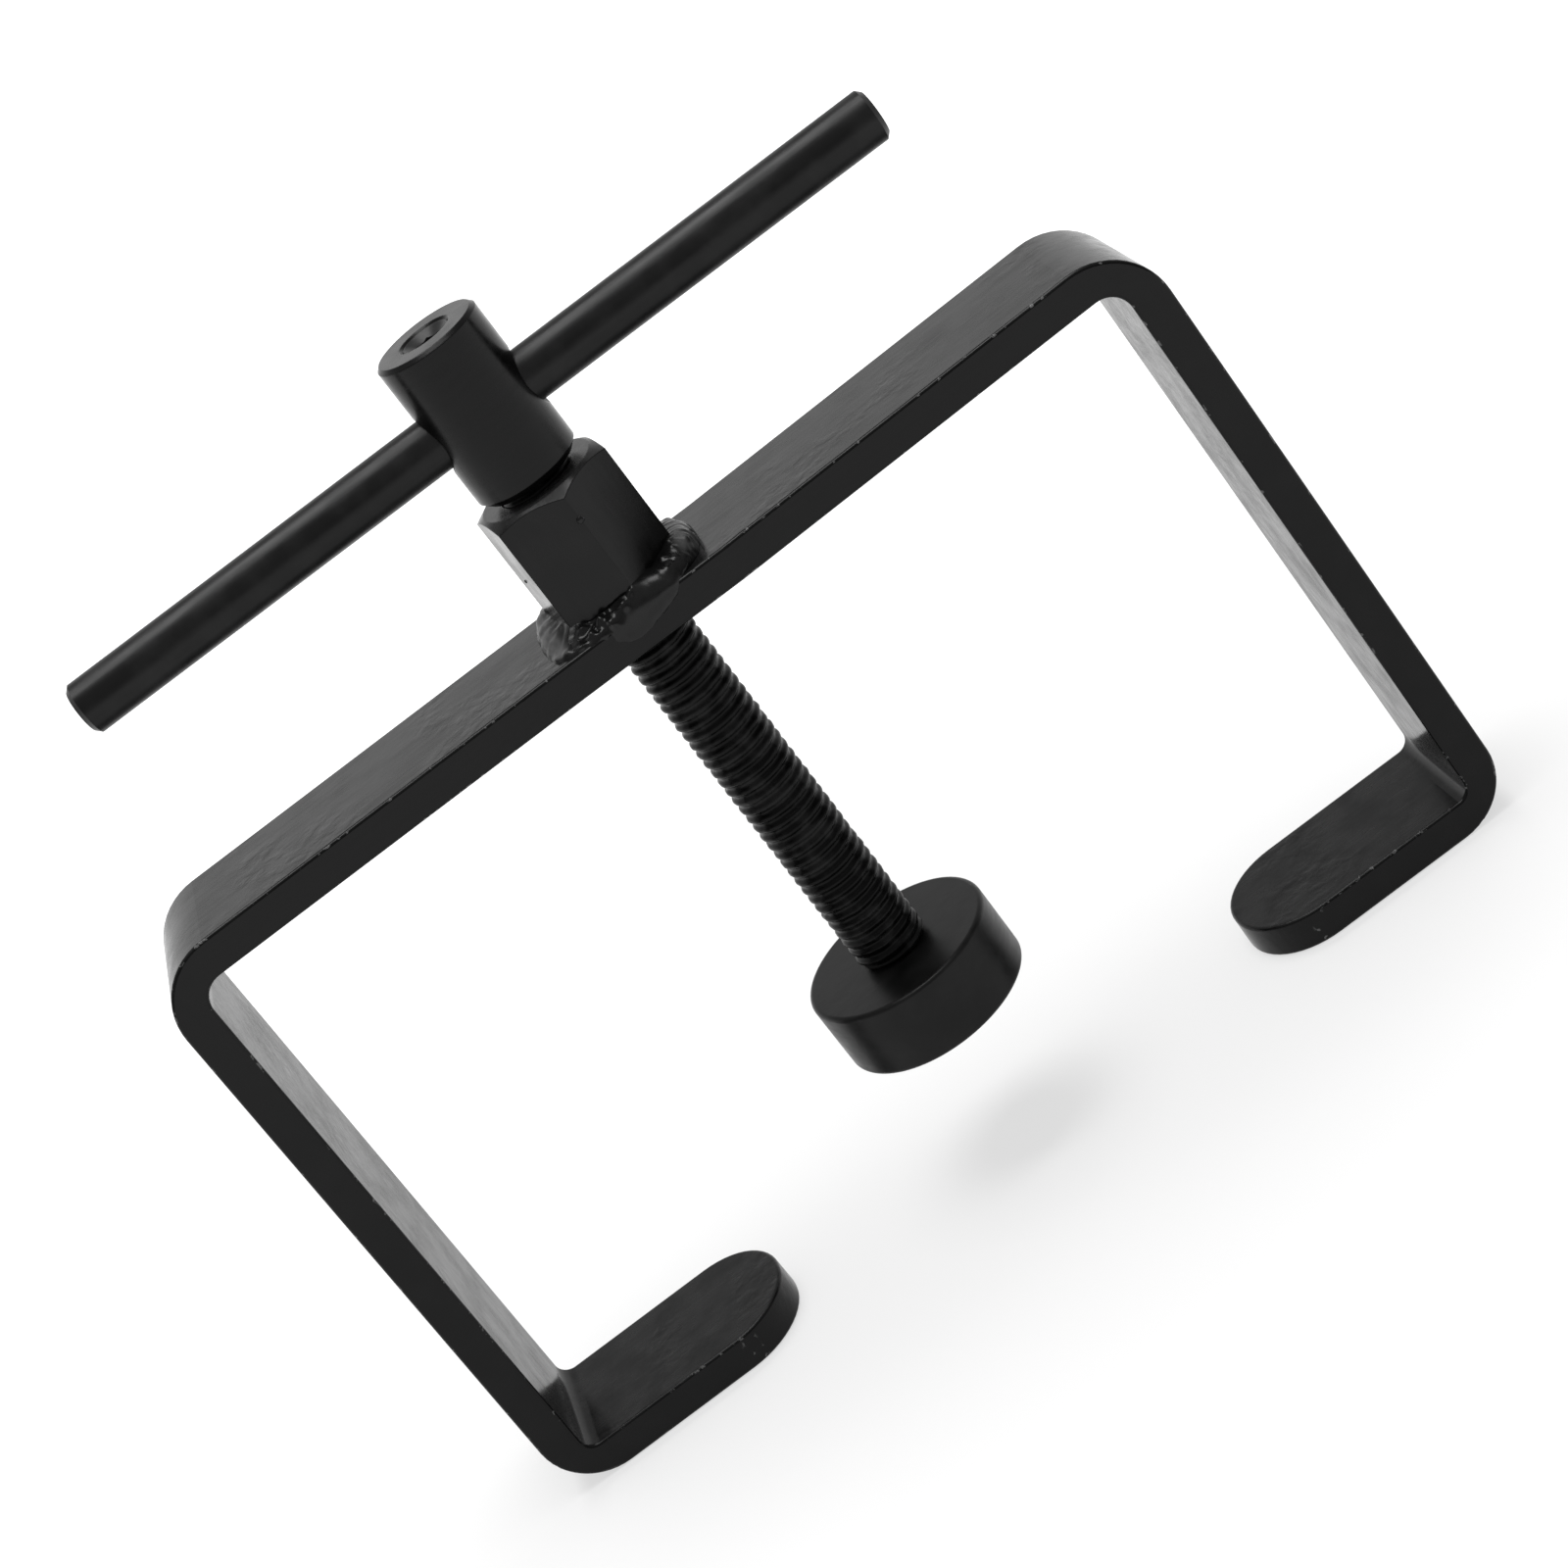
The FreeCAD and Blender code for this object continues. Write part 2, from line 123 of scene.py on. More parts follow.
# ---------------------------------------------------------------- screw and nut, mm
PITCH = 25.4 / 13
THREAD_ROOT = 5.60
THREAD_CREST = 6.27
THREAD_NOISE_RADIUS = 6.0    # where the thread's noise is read
THREAD_POOL = (2.6, 0.28)    # pools of paint in the root: size, height
THREAD_WEAR = (1.7, 0.10)    # wear of the crest: size, depth
THREAD_WEAR_SHIFT = 40.0     # so that wear and pools don't fall together
THREAD_GRAIN = (0.9, 0.08)
THREAD_SIDES = 72
ROWS_PER_PITCH = 12
RUNOUT_DEPTH = 0.4           # the thread's foot, below its root, and how fast it rises from there
RUNOUT_SLOPE = 0.9
FOOT_GAP = 0.05              # thread's foot above the pad
JOURNAL_RADIUS = 4.75
JOURNAL_CHAMFER = 0.45
GROOVE_RADIUS = 4.3          # foot of the retaining ring's groove
GROOVE_PLAY = 0.05
SPIGOT_RADIUS = 4.98
NUT_FLATS = 20.6
NUT_TURN = 10.0              # degrees

# ---------------------------------------------------------------- weld, mm and degrees
# Cross sections round the nut. Angle from +X; height where the weld meets the nut; the two pull
# points of its back; its toe. Radii from the screw's axis, heights above the bar's top face.
WELD_SECTIONS = [
    (0, 3.5, (12.1, 4.0), (14.3, 3.2), (14.4, -0.15)),
    (20, 3.3, (12.2, 3.8), (14.1, 2.8), (14.2, -0.15)),
    (40, 2.8, (12.9, 3.0), (13.9, 1.8), (13.9, -0.15)),
    (60, 2.4, (12.1, 2.7), (13.8, 1.6), (13.7, -0.15)),
    (76, 2.3, (11.7, 2.6), (13.0, 1.6), (12.9, -0.15)),
    (90, 2.4, (11.7, 2.7), (12.7, 1.6), (12.5, -0.15)),
    (104, 2.3, (11.8, 2.6), (13.0, 1.5), (12.8, -0.15)),
    (120, 2.4, (12.3, 2.8), (13.9, 1.7), (13.8, -0.15)),
    (138, 2.6, (12.7, 3.2), (14.9, 2.4), (14.9, -0.15)),
    (164, 3.0, (12.2, 3.6), (14.5, 2.8), (14.6, -0.15)),
    (180, 3.1, (12.3, 3.4), (14.6, 2.6), (14.8, -0.15)),
    (195, 3.1, (12.5, 2.9), (14.8, 2.0), (15.3, -0.15)),
    (206, 3.1, (12.6, 2.4), (15.0, 1.2), (16.2, -0.15)),
    (215, 3.1, (13.0, 1.7), (15.6, 0.9), (17.0, -0.15)),
    (225, 2.7, (12.5, 0.9), (15.4, 1.0), (16.4, -0.15)),
    (236, 1.9, (11.6, 0.8), (14.3, 1.5), (15.0, -0.25)),
    (245, 1.9, (11.5, 1.0), (14.5, 1.8), (13.92, -0.9)),
    (250, 2.0, (12.2, 1.6), (14.5, 0.6), (13.43, -2.2)),
    (256, 2.2, (13.2, 2.4), (14.2, -0.8), (13.0, -3.3)),
    (264, 2.4, (13.5, 3.0), (13.9, -1.2), (12.69, -3.8)),
    (272, 2.7, (13.4, 3.3), (13.9, -1.0), (12.63, -3.6)),
    (280, 3.6, (12.5, 3.4), (15.0, 0.3), (12.82, -3.1)),
    (290, 3.4, (11.9, 3.3), (16.0, 1.2), (13.43, -2.5)),
    (299, 3.3, (12.0, 3.2), (16.4, 1.5), (14.43, -1.6)),
    (306, 2.8, (13.1, 3.1), (15.0, 1.9), (15.0, -0.3)),
    (324, 3.2, (13.3, 3.7), (15.5, 2.7), (15.4, -0.15)),
    (340, 3.7, (13.3, 4.2), (15.1, 3.3), (14.8, -0.15)),
    (349, 3.6, (12.8, 4.2), (14.8, 3.4), (14.5, -0.15)),
]
WELD_STEPS = 640
WELD_ROWS = 26
WELD_SUNK = 0.15             # the weld's upper edge inside the nut's side
WELD_ROUGHNESS = [(2.4, 0.24), (1.1, 0.06)]  # size, height
WELD_EDGE_RELIEF = 0.15      # share of the relief left at the weld's edges
WELD_EDGE_SHARE = 8          # it is full one part in so many from each edge
# The ring's hidden foot: an inner edge set back from the toe and below it, and an upright core.
WELD_SETBACK = 1.2
WELD_INNER_LEAST = 9.6
WELD_BELOW_TOE = 0.4
WELD_CORE_RADIUS = 9.4
WELD_CORE_FOOT = -0.35
WELD_CORE_SHARE = 0.6        # of the weld's height on the nut
# Stretches with plain ripples: middle, half width, ripple height, and how far they run lengthwise.
WELD_RIPPLED = [(182, 36, 0.07, 0.85), (352, 34, 0.10, 0.0), (312, 12, 0.05, 0.0),
                (90, 50, 0.08, 0.0)]
WELD_RIPPLE = 1.30           # from one ripple's crest to the next
WELD_RIPPLE_RADIUS = 13.5
WELD_RIPPLE_BOW = 2.6
WELD_RIPPLE_WANDER = (2.2, 0.9)
WELD_RIPPLE_FULLNESS = 0.7   # below 1 the crests are broad
WELD_RIPPLE_RUN = 7.0        # nut to toe, for lengthwise ripples
# Stretches that flowed smooth: middle, half width, share of the relief that is gone.
WELD_SMOOTH = [(287, 14, 0.85), (266, 14, 0.5)]
WELD_LIP = (250, 28, 0.45)   # a thin bead against the nut: middle, half width, height
WELD_LIP_PLACE = 0.08        # its share of the way from nut to toe
WELD_LIP_WIDTH = 0.05
# Lumps and pits: angle, share of the way from nut to toe, radius, height.
WELD_LUMPS = [(231, 0.25, 1.2, 0.8), (246, 0.26, 1.3, 0.9), (267, 0.28, 1.1, 0.6),
              (334, 0.62, 1.0, 0.4), (239, 0.55, 1.1, 0.7), (254, 0.45, 1.1, 0.6),
              (276, 0.20, 0.8, 0.5), (312, 0.22, 0.8, 0.5), (322, 0.34, 0.8, 0.4),
              (330, 0.16, 0.7, 0.4), (222, 0.80, 1.2, 0.5), (232, 0.86, 1.0, 0.5),
              (214, 0.88, 1.1, 0.4), (150, 0.5, 1.4, 0.3), (20, 0.5, 1.5, 0.3)]
WELD_PITS = [(346, 0.80, 0.45, 0.35), (242, 0.55, 0.8, 0.5)]
WELD_LUMP_RADIUS = 13.0
WELD_LUMP_RUN = 6.0          # nut to toe, for lumps and pits
WELD_LUMP_REACH = 2.5        # in its own radii

# ---------------------------------------------------------------- spatter on the nut, mm, degrees
BLOB_RINGS = 13
BLOB_SIDES = 24
BLOB_POLE = 0.3              # size of the flat poles, in spacings between rings
BLOB_LUMPS = (1.3, 0.18)
DIMPLE = (26, 13, 0.14)      # a ring-shaped dimple: where, how wide, how deep
# Name; angle round the nut, height and how far sunk in; half sizes; noise seed; way of the dimple.
SPATTER = [
    ("spatter_crease", (280, 132.8, 0.15), (0.62, 0.6, 0.62), 1.0, (0.1, -0.95, 0.3)),
    ("nut_pinhole", (180, 126.5, 0.1), (0.3, 0.3, 0.3), 2.0, None),
]


class Nodes:
    """A short way to write a node tree: every call adds a node and returns its output socket."""

    def __init__(self, tree):
        self.tree = tree
        tree.nodes.clear()

    def add(self, kind, inputs=(), out=0, **settings):
        node = self.tree.nodes.new(kind)
        for name, value in settings.items():
            setattr(node, name, value)
        for key, value in dict(inputs).items():
            if isinstance(value, bpy.types.NodeSocket):
                self.tree.links.new(value, node.inputs[key])
            else:
                node.inputs[key].default_value = value
        return node.outputs[out]

    def show(self, kind, shader):
        self.tree.links.new(shader, self.tree.nodes.new(kind).inputs["Surface"])

    def math(self, operation, a, b=0.0):
        return self.add("ShaderNodeMath", {0: a, 1: b}, operation=operation)

    def plus(self, a, b):
        return self.math("ADD", a, b)

    def times(self, a, b):
        return self.math("MULTIPLY", a, b)

    def ramp(self, value, low, high, to_low=0.0, to_high=1.0):
        return self.add(
            "ShaderNodeMapRange",
            {"Value": value, "From Min": low, "From Max": high,
             "To Min": to_low, "To Max": to_high},
            interpolation_type="SMOOTHSTEP",
        )

    def mix(self, share, a, b):
        return self.add("ShaderNodeMix", {0: share, 2: a, 3: b}, data_type="FLOAT")

    def grey(self, level):
        return self.add("ShaderNodeCombineColor", {0: level, 1: level, 2: level})

    def clouds(self, place, size, detail=3.0, stretch=(1.0, 1.0, 1.0)):
        """Noise whose blobs are about size metres across, longer where stretch is more than 1."""
        scale = tuple(1.0 / (size * s) for s in stretch)
        mapped = self.add("ShaderNodeMapping", {"Vector": place, "Scale": scale})
        return self.add("ShaderNodeTexNoise", {"Vector": mapped, "Scale": 1.0, "Detail": detail})

    def axis(self, place, name):
        node = self.tree.nodes.new("ShaderNodeSeparateXYZ")
        self.tree.links.new(place, node.inputs[0])
        return node.outputs[name]

    def out_along(self, place, name):
        """Distance from the middle along one axis."""
        return self.math("ABSOLUTE", self.axis(place, name))


def put_in_scene(name, data):
    thing = bpy.data.objects.new(name, data)
    bpy.context.scene.collection.objects.link(thing)
    return thing


def new_material(name):
    """A material, the writer of its nodes, and the piece's own coordinates in metres."""
    material = bpy.data.materials.new(name)
    material.use_nodes = True
    g = Nodes(material.node_tree)
    return material, g, g.add("ShaderNodeTexCoord", out=3)


# ---------------------------------------------------------------- studio
def make_world():
    world = bpy.data.worlds.new("studio")
    bpy.context.scene.world = world
    world.use_nodes = True
    g = Nodes(world.node_tree)
    direction = g.add("ShaderNodeTexCoord", out=0)
    behind = g.ramp(g.axis(direction, "Y"), *SKY_TO_BEHIND)
    front = g.ramp(g.axis(direction, "X"), *SKY_LEFT_TO_RIGHT, SKY_FRONT_LEFT, SKY_FRONT_RIGHT)
    low = g.mix(behind, front, SKY_BEHIND)
    level = g.mix(g.ramp(g.axis(direction, "Z"), *SKY_TO_HIGH), low, SKY_HIGH)
    sky = g.add("ShaderNodeBackground", {"Color": g.grey(level), "Strength": 1.0})
    g.show("ShaderNodeOutputWorld", sky)


def make_light():
    data = bpy.data.lights.new("top_light", "AREA")
    data.shape = "DISK"
    data.size = TOP_LIGHT_SIZE
    data.energy = TOP_LIGHT_RADIANCE * math.pi * math.pi * TOP_LIGHT_SIZE * TOP_LIGHT_SIZE / 4
    light = put_in_scene("top_light", data)
    light.location = TOP_LIGHT_PLACE
    light.rotation_mode = "QUATERNION"
    light.rotation_quaternion = Vector(TOP_LIGHT_PLACE).to_track_quat("Z", "Y")


def make_floor():
    """A matt floor that also gives off light of its own, so that it stays white, but less of it
    near the middle: painted shade round the clamp.
    """
    mesh = bpy.data.meshes.new("floor")
    h = FLOOR_HALF
    mesh.from_pydata([(-h, -h, 0), (h, -h, 0), (h, h, 0), (-h, h, 0)], [], [(0, 1, 2, 3)])
    floor = put_in_scene("floor", mesh)
    floor.location.z = cad_box[0].z
    material, g, place = new_material("floor_matt")
    matt = g.add("ShaderNodeBsdfDiffuse", {"Color": (FLOOR_TONE, FLOOR_TONE, FLOOR_TONE, 1.0)})
    away = g.add("ShaderNodeVectorMath", {0: place}, out="Value", operation="LENGTH")
    # painted shade: the floor glows less near the clamp than away from it
    strength = g.ramp(away, *FLOOR_GLOW_FADE, FLOOR_GLOW_NEAR, FLOOR_GLOW_FAR)
    glow = g.add("ShaderNodeEmission", {"Color": (1.0, 1.0, 1.0, 1.0), "Strength": strength})
    g.show("ShaderNodeOutputMaterial", g.add("ShaderNodeAddShader", {0: matt, 1: glow}))
    mesh.materials.append(material)


def make_camera():
    """The camera on its own side of the clamp, rolled about its line of sight."""
    back = Vector((
        math.sin(CAMERA_AZIMUTH) * math.cos(CAMERA_ELEVATION),
        -math.cos(CAMERA_AZIMUTH) * math.cos(CAMERA_ELEVATION),
        math.sin(CAMERA_ELEVATION),
    ))
    right = (-back).cross(Vector((0, 0, 1))).normalized()
    up = right.cross(-back)
    c, s = math.cos(CAMERA_ROLL), math.sin(CAMERA_ROLL)
    turn = Matrix((right * c - up * s, right * s + up * c, back)).transposed()
    data = bpy.data.cameras.new("camera")
    data.lens = CAMERA_LENS
    data.sensor_width = CAMERA_SENSOR
    data.clip_start, data.clip_end = CAMERA_CLIP
    camera = put_in_scene("camera", data)
    camera.matrix_world = (
        Matrix.Translation(CAMERA_TARGET + back * CAMERA_DISTANCE) @ turn.to_4x4())
    bpy.context.scene.camera = camera


# ---------------------------------------------------------------- materials
def paint(name, tone=0.006, gloss=0.22, ior=1.27, streaks=((1, 1, 1),), streak=0.0, peel=1.0,
          patches=0.0, edge=None, soft=0.0, wrinkles=0.0, painted_top_sheen=0.0, painted_top_sheen_out=0.0):
    """Black enamel: orange peel, drawn-out streaks, uneven gloss, specks of dust and, where edge
    gives the bar's half width, chipped paint along its edges. A second streak direction is for
    the legs, and soft rounds the paint over sharp edges by that radius. Patches are worn dull.
    Wrinkles are runs and scabs under the paint, in patches. The top sheen is a painted highlight:
    lighter colour, with more roughness, on what faces up, further than its given distance from the
    middle."""
    material, g, place = new_material(name)
    cloudy = g.clouds(place, CLOUD_SIZE, 5.0)
    fine = g.clouds(place, GRAIN_SIZE, 2.0)
    drawn = g.clouds(place, STREAK_SIZE, 3.0, streaks[0])
    flatness = 1.0
    if len(streaks) > 1:
        on_leg = g.ramp(g.out_along(place, "X"), *LEG_STARTS)
        flatness = g.mix(on_leg, 1.0, LEG_BUMP)
        drawn = g.mix(on_leg, drawn, g.clouds(place, STREAK_SIZE, 3.0, streaks[1]))
    rough = g.ramp(cloudy, 0.3, 0.7, gloss - 0.04, gloss + 0.05)
    rough = g.plus(rough, g.ramp(drawn, 0.3, 0.7, -0.05 * streak, 0.05 * streak))
    level = g.ramp(cloudy, 0.35, 0.75, tone * 0.7, tone * 1.5)
    if patches:
        worn = g.ramp(g.clouds(place, WORN_SIZE, 4.0), 0.45, 0.65, 0.0, patches)
        level = g.plus(level, worn)
        rough = g.plus(rough, g.times(worn, 3.0))
    specks = g.add("ShaderNodeTexVoronoi",
                   {"Vector": place, "Scale": SPECKS_PER_METRE, "Randomness": 1.0})
    dusty = g.ramp(g.clouds(place, SPECK_PATCH_SIZE, 2.0), 0.54, 0.64, 0.0, SPECK_TONE)
    level = g.plus(level, g.times(g.ramp(specks, *SPECK_EDGE), dusty))
    height = g.times(fine, 0.35 * peel)
    height = g.plus(height, g.times(drawn, 0.5 * streak))
    height = g.plus(height, g.times(g.clouds(place, PEEL_SIZE, 1.0), 1.6 * peel))
    if wrinkles:
        where = g.ramp(g.clouds(place, RUN_PATCH_SIZE, 2.0), 0.47, 0.64)
        scabs = g.ramp(g.clouds(place, SCAB_SIZE, 2.5), 0.34, 0.68)
        height = g.plus(height, g.times(g.times(where, scabs), wrinkles))
        height = g.plus(height, g.times(g.clouds(place, RUN_SIZE, 2.0), 0.5 * wrinkles))
    # painted highlight: the colour is made lighter, and rougher, where the surface faces up
    if painted_top_sheen:
        facing = g.axis(g.add("ShaderNodeNewGeometry", out="Normal"), "Z")
        lit_top = g.times(g.ramp(facing, *PAINTED_TOP_SHEEN_FACING),
                       g.ramp(cloudy, 0.3, 0.6, 0.6 * painted_top_sheen, painted_top_sheen))
        if painted_top_sheen_out:
            outside = g.ramp(g.out_along(place, "X"), painted_top_sheen_out, painted_top_sheen_out + PAINTED_TOP_SHEEN_FADE)
            lit_top = g.times(lit_top, outside)
        level = g.plus(level, lit_top)
        rough = g.plus(rough, g.times(lit_top, 2.0))
    if edge:
        side = g.out_along(place, "Y")
        near = g.times(g.ramp(side, *(edge - inside for inside in CHIP_INNER)),
                       g.ramp(side, *(edge - inside for inside in CHIP_OUTER)))
        bare = g.times(near, g.ramp(g.clouds(place, CHIP_SIZE, 4.0), 0.60, 0.66))
        level = g.plus(level, g.times(bare, CHIP_TONE))
        height = g.math("SUBTRACT", height, g.times(bare, CHIP_DEPTH))
    bump = {"Height": g.times(height, flatness), "Distance": BUMP_DEPTH, "Strength": 1.0}
    if soft:
        bump["Normal"] = g.add("ShaderNodeBevel", {"Radius": soft}, samples=6)
    g.show("ShaderNodeOutputMaterial", g.add("ShaderNodeBsdfPrincipled", {
        "Base Color": g.grey(level), "Roughness": rough, "IOR": ior,
        "Normal": g.add("ShaderNodeBump", bump)}))
    return material


def bare_steel(name, tone, gloss):
    """Plain or phosphated steel with turning marks and stains."""
    material, g, place = new_material(name)
    stains = g.clouds(place, STEEL_STAIN_SIZE, 4.0)
    marks = g.clouds(place, STEEL_MARK_SIZE, 2.0, ROUND_STEEL)
    level = g.ramp(stains, 0.3, 0.7, tone * 0.6, tone * 1.2)
    bump = {"Height": marks, "Distance": STEEL_BUMP_DEPTH, "Strength": 1.0}
    g.show("ShaderNodeOutputMaterial", g.add("ShaderNodeBsdfPrincipled", {
        "Base Color": g.grey(level), "Metallic": STEEL_METALLIC,
        "Roughness": g.ramp(stains, 0.3, 0.7, gloss - 0.08, gloss + 0.1),
        "Normal": g.add("ShaderNodeBump", bump)}))
    return material


def dress(node, material):
    """Puts a material on a CAD node in place of the one that it was packed with."""
    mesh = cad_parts[node].data
    mesh.materials.clear()
    mesh.materials.append(material)


# ---------------------------------------------------------------- meshes
def add_piece(name, points, faces, material, body):
    """A smooth-shaded piece from points in millimetres."""
    mesh = bpy.data.meshes.new(name)
    mesh.from_pydata([tuple(c * MM for c in p) for p in points], [], faces)
    mesh.update()
    mesh.polygons.foreach_set("use_smooth", [True] * len(mesh.polygons))
    mesh.materials.append(material)
    piece = put_in_scene(name, mesh)
    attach(piece, body)
    return piece


def ring_faces(rows, sides, closed_rows=False):
    """Quads between rows of points, each row a closed ring of so many points, wound outwards."""
    faces = []
    for row in range(rows if closed_rows else rows - 1):
        here, there = row * sides, ((row + 1) % rows) * sides
        for side in range(sides):
            after = (side + 1) % sides
            faces.append((here + side, here + after, there + after, there + side))
    return faces


def capped_faces(rows, sides):
    """The same, with a flat face across the first row and the last."""
    last = (rows - 1) * sides
    caps = [tuple(reversed(range(sides))), tuple(range(last, last + sides))]
    return ring_faces(rows, sides) + caps


def on_circle(radius, angle, z):
    return (radius * math.cos(angle), radius * math.sin(angle), z)


def smoothed(share):
    """From 0 to 1 with a gentle start and end."""
    return share * share * (3 - 2 * share)


def rough_noise(point, size, amount):
    return noise.noise(Vector(point) / size) * amount


def half_noise(point, size):
    """Noise from 0 to 1."""
    return rough_noise(point, size, 0.5) + 0.5


def thread_radius(angle, z, foot):
    """Radius of the paint-filled thread: a low rounded ridge, uneven where paint has pooled."""
    turn = (z / PITCH - angle / (2 * math.pi)) % 1.0
    ridge = smoothed(0.5 + 0.5 * math.cos(2 * math.pi * turn))
    x, y, z = on_circle(THREAD_NOISE_RADIUS, angle, z)
    size, height = THREAD_POOL
    root = THREAD_ROOT + height * half_noise((x, y, z), size)
    size, depth = THREAD_WEAR
    crest = THREAD_CREST - depth * half_noise((x + THREAD_WEAR_SHIFT, y, z), size)
    radius = root + (crest - root) * ridge + rough_noise((x, y, z), *THREAD_GRAIN)
    return min(radius, THREAD_ROOT - RUNOUT_DEPTH + (z - foot) * RUNOUT_SLOPE)


def make_screw(material):
    """The screw in paint: journal with its groove, thread and spigot, closed at both ends."""
    low, high = (corner.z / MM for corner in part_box("spindle"))
    groove_low, groove_high = (corner.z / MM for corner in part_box("retaining_ring"))
    groove_low, groove_high = groove_low - GROOVE_PLAY, groove_high + GROOVE_PLAY
    head_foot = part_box("handle_head")[0].z / MM
    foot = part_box("pressing_pad")[1].z / MM + FOOT_GAP
    below = [(JOURNAL_RADIUS - JOURNAL_CHAMFER, low), (JOURNAL_RADIUS, low + JOURNAL_CHAMFER),
             (JOURNAL_RADIUS, groove_low), (GROOVE_RADIUS, groove_low),
             (GROOVE_RADIUS, groove_high), (JOURNAL_RADIUS, groove_high), (JOURNAL_RADIUS, foot)]
    above = [(SPIGOT_RADIUS, head_foot), (SPIGOT_RADIUS, high)]
    angles = [2 * math.pi * side / THREAD_SIDES for side in range(THREAD_SIDES)]
    rows = round((head_foot - foot) / PITCH * ROWS_PER_PITCH)
    heights = [foot + (head_foot - foot) * row / rows for row in range(rows + 1)]
    points = [on_circle(radius, angle, z) for radius, z in below for angle in angles]
    points += [on_circle(thread_radius(angle, z, foot), angle, z)
               for z in heights for angle in angles]
    points += [on_circle(radius, angle, z) for radius, z in above for angle in angles]
    faces = capped_faces(len(points) // THREAD_SIDES, THREAD_SIDES)
    screw = add_piece("painted_screw", points, faces, material, "screw")
    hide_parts("spindle")


def nut_radius(degrees):
    """Distance from the axis to the nut's side in this direction."""
    return NUT_FLATS / 2 / math.cos(math.radians((degrees - NUT_TURN + 30) % 60 - 30))


def weld_section(degrees):
    """The weld's cross section here, smoothly between the keys: height on the nut, two pull
    points and toe."""
    keys = WELD_SECTIONS
    number = max(i for i, key in enumerate(keys) if key[0] <= degrees)
    before, after = keys[number], keys[(number + 1) % len(keys)]
    share = smoothed((degrees - before[0]) / ((after[0] - before[0]) % 360))

    def between(a, b):
        return a + (b - a) * share

    height = between(before[1], after[1])
    pulls = [tuple(between(a, b) for a, b in zip(before[i], after[i])) for i in (2, 3, 4)]
    return height, pulls


def around(degrees, middle):
    """Degrees from middle, the short way round."""
    return abs((degrees - middle + 180) % 360 - 180)


def stretch(degrees, middle, half):
    """1 inside this stretch of the weld, falling to 0 at its ends."""
    return min(1.0, 2.5 * max(0.0, 1 - around(degrees, middle) / half))


def weld_relief(degrees, share, point):
    """How far the weld's skin stands out of its plain section, mm."""
    relief = sum(rough_noise(point, size, height) for size, height in WELD_ROUGHNESS)
    for middle, half, gone in WELD_SMOOTH:
        relief *= 1 - gone * stretch(degrees, middle, half)
    middle, half, height = WELD_LIP
    off = (share - WELD_LIP_PLACE) / WELD_LIP_WIDTH
    relief += height * stretch(degrees, middle, half) * math.exp(-off ** 2)
    along = math.radians(degrees) * WELD_RIPPLE_RADIUS
    for middle, half, height, lengthwise in WELD_RIPPLED:
        fade = stretch(degrees, middle, half)
        bent = along * (1 - lengthwise) + WELD_RIPPLE_BOW * (share - 0.5) ** 2
        bent += rough_noise(point, *WELD_RIPPLE_WANDER)
        bent += WELD_RIPPLE_RUN * share * lengthwise
        wave = math.cos(2 * math.pi * bent / WELD_RIPPLE)
        relief += height * fade * (0.5 + 0.5 * wave) ** WELD_RIPPLE_FULLNESS
    for spots, sign in ((WELD_LUMPS, 1), (WELD_PITS, -1)):
        for middle, place, size, height in spots:
            off = math.radians(around(degrees, middle)) * WELD_LUMP_RADIUS
            apart = math.hypot(off, (share - place) * WELD_LUMP_RUN) / size
            if apart < WELD_LUMP_REACH:
                relief += sign * height * math.exp(-2.0 * apart * apart)
    return relief


def curve_point(t, corners):
    """The place t of the way along the cubic curve through these corners."""
    weights = ((1 - t) ** 3, 3 * t * (1 - t) ** 2, 3 * t * t * (1 - t), t ** 3)
    return tuple(sum(w * c[i] for w, c in zip(weights, corners)) for i in (0, 1))


def make_weld(material):
    """One closed ring of weld metal round the nut's foot, on the bar and over its front edge."""
    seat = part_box("screw_nut")[0].z / MM
    last = WELD_ROWS - 1
    points = []
    for step in range(WELD_STEPS):
        degrees = 360.0 * step / WELD_STEPS
        angle = math.radians(degrees)
        height, pulls = weld_section(degrees)
        corners = [(nut_radius(degrees) - WELD_SUNK, height)] + pulls
        section = [curve_point(row / last, corners) for row in range(WELD_ROWS)]
        for row, (radius, up) in enumerate(section):
            t = row / last
            before, after = section[max(row - 1, 0)], section[min(row + 1, last)]
            run, rise = after[0] - before[0], after[1] - before[1]
            length = math.hypot(run, rise) or 1.0
            held = min(1.0, WELD_EDGE_SHARE * t) * min(1.0, WELD_EDGE_SHARE * (1 - t))
            relief = weld_relief(degrees, t, on_circle(radius, angle, up))
            relief *= WELD_EDGE_RELIEF + (1 - WELD_EDGE_RELIEF) * held
            radius += -rise / length * relief
            up += run / length * relief
            points.append(on_circle(radius, angle, seat + up))
        toe_radius, toe_up = section[-1]
        inner = max(toe_radius - WELD_SETBACK, WELD_INNER_LEAST)
        foot = ((inner, toe_up - WELD_BELOW_TOE), (WELD_CORE_RADIUS, WELD_CORE_FOOT),
                (WELD_CORE_RADIUS, height * WELD_CORE_SHARE))
        points += [on_circle(radius, angle, seat + up) for radius, up in foot]
    sides = len(points) // WELD_STEPS
    faces = ring_faces(WELD_STEPS, sides, closed_rows=True)
    faces = [tuple(reversed(face)) for face in faces]
    weld = add_piece("weld_metal", points, faces, material, "clamp_frame")
    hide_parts("weld_left", "weld_right", "weld_front", "weld_back")


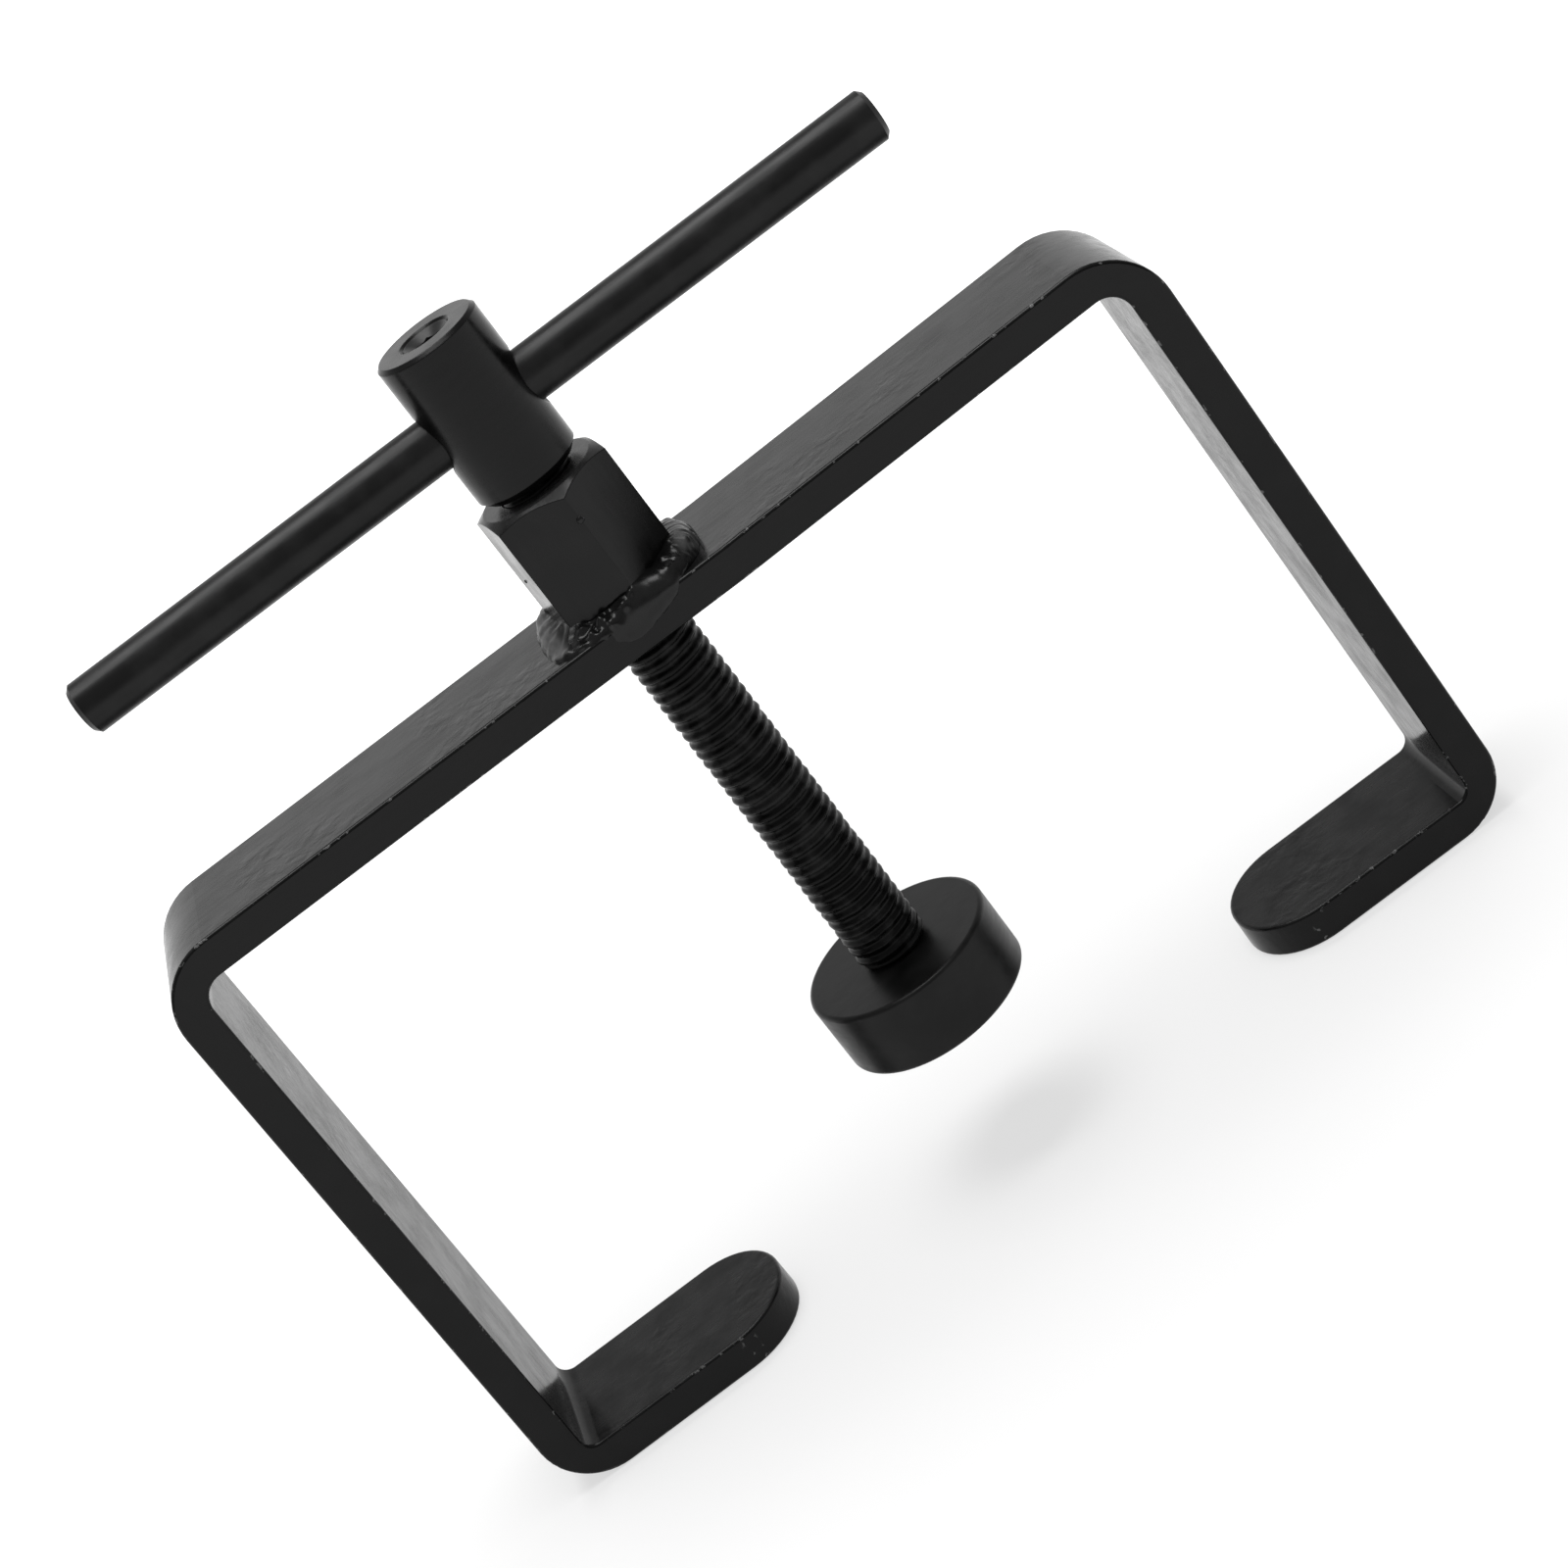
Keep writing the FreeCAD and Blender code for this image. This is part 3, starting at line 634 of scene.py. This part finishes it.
def make_blob(name, centre, size, seed, dimple, material):
    """A small lumpy ball of weld spatter, with a ring-shaped dimple facing that way if any."""
    shift = Vector((seed, seed, seed))
    scale, lump = BLOB_LUMPS
    where, width, depth = DIMPLE
    points = []
    for ring in range(BLOB_RINGS):
        polar = math.pi * (ring + BLOB_POLE) / (BLOB_RINGS - 1 + 2 * BLOB_POLE)
        for side in range(BLOB_SIDES):
            angle = 2 * math.pi * side / BLOB_SIDES
            way = Vector(on_circle(math.sin(polar), angle, -math.cos(polar)))
            radius = 1 + rough_noise(way * scale + shift, 1.0, lump)
            if dimple:
                off = math.degrees(way.angle(Vector(dimple)))
                radius -= depth * math.exp(-((off - where) / width) ** 2)
            points.append(tuple(c + w * radius * s for c, w, s in zip(centre, way, size)))
    faces = capped_faces(BLOB_RINGS, BLOB_SIDES)
    add_piece(name, points, faces, material, "clamp_frame")


def make_spatter(material):
    """The ball of weld spatter on the nut's front edge and the small blister on its left side."""
    for name, (degrees, z, sunk), size, seed, dimple in SPATTER:
        centre = on_circle(nut_radius(degrees) - sunk, math.radians(degrees), z)
        make_blob(name, centre, size, seed, dimple, material)


# ---------------------------------------------------------------- the clamp in its paint
screw_paint = paint("screw_enamel", tone=0.0015, gloss=0.30, ior=1.20, patches=0.010)
# weld, frame and nut paints carry a painted highlight on upward faces; on the weld only to either
# side of the middle
weld_paint = paint("weld_enamel", tone=0.007, gloss=0.24, ior=1.31, peel=0.8, painted_top_sheen=0.085,
                   painted_top_sheen_out=0.0105)
MATERIALS = {
    "frame": paint("frame_enamel", tone=0.002, gloss=0.22, streaks=(ALONG_BAR, UP_LEG),
                   streak=0.6, edge=BAR_HALF, wrinkles=1.7, painted_top_sheen=0.009),
    "screw_nut": paint("nut_enamel", tone=0.004, gloss=0.22, streaks=(UP_LEG,), streak=0.4,
                       soft=0.00035, painted_top_sheen=0.02),
    "weld_left": weld_paint,
    "weld_right": weld_paint,
    "weld_front": weld_paint,
    "weld_back": weld_paint,
    "spindle": screw_paint,
    "handle_head": paint("head_enamel", tone=0.002, gloss=0.24, streaks=(ROUND_HEAD,),
                         streak=0.5, soft=0.0003),
    "handle_bar": paint("handle_enamel", tone=0.008, gloss=0.36, streaks=(ALONG_BAR,),
                        streak=1.0),
    "set_screw": paint("set_screw_oxide", tone=0.015, gloss=0.34, patches=0.03),
    "pressing_pad": paint("pad_enamel", gloss=0.35, streaks=(ROUND_PAD,), streak=0.5,
                          wrinkles=0.4),
    "thrust_washer": bare_steel("washer_plain", 0.35, 0.4),
    "retaining_ring": bare_steel("ring_phosphate", 0.05, 0.45),
}
for node, material in MATERIALS.items():
    dress(node, material)
make_screw(screw_paint)
make_weld(weld_paint)
make_spatter(weld_paint)

bpy.context.scene.view_settings.view_transform = "Standard"
make_world()
make_floor()
make_light()
make_camera()
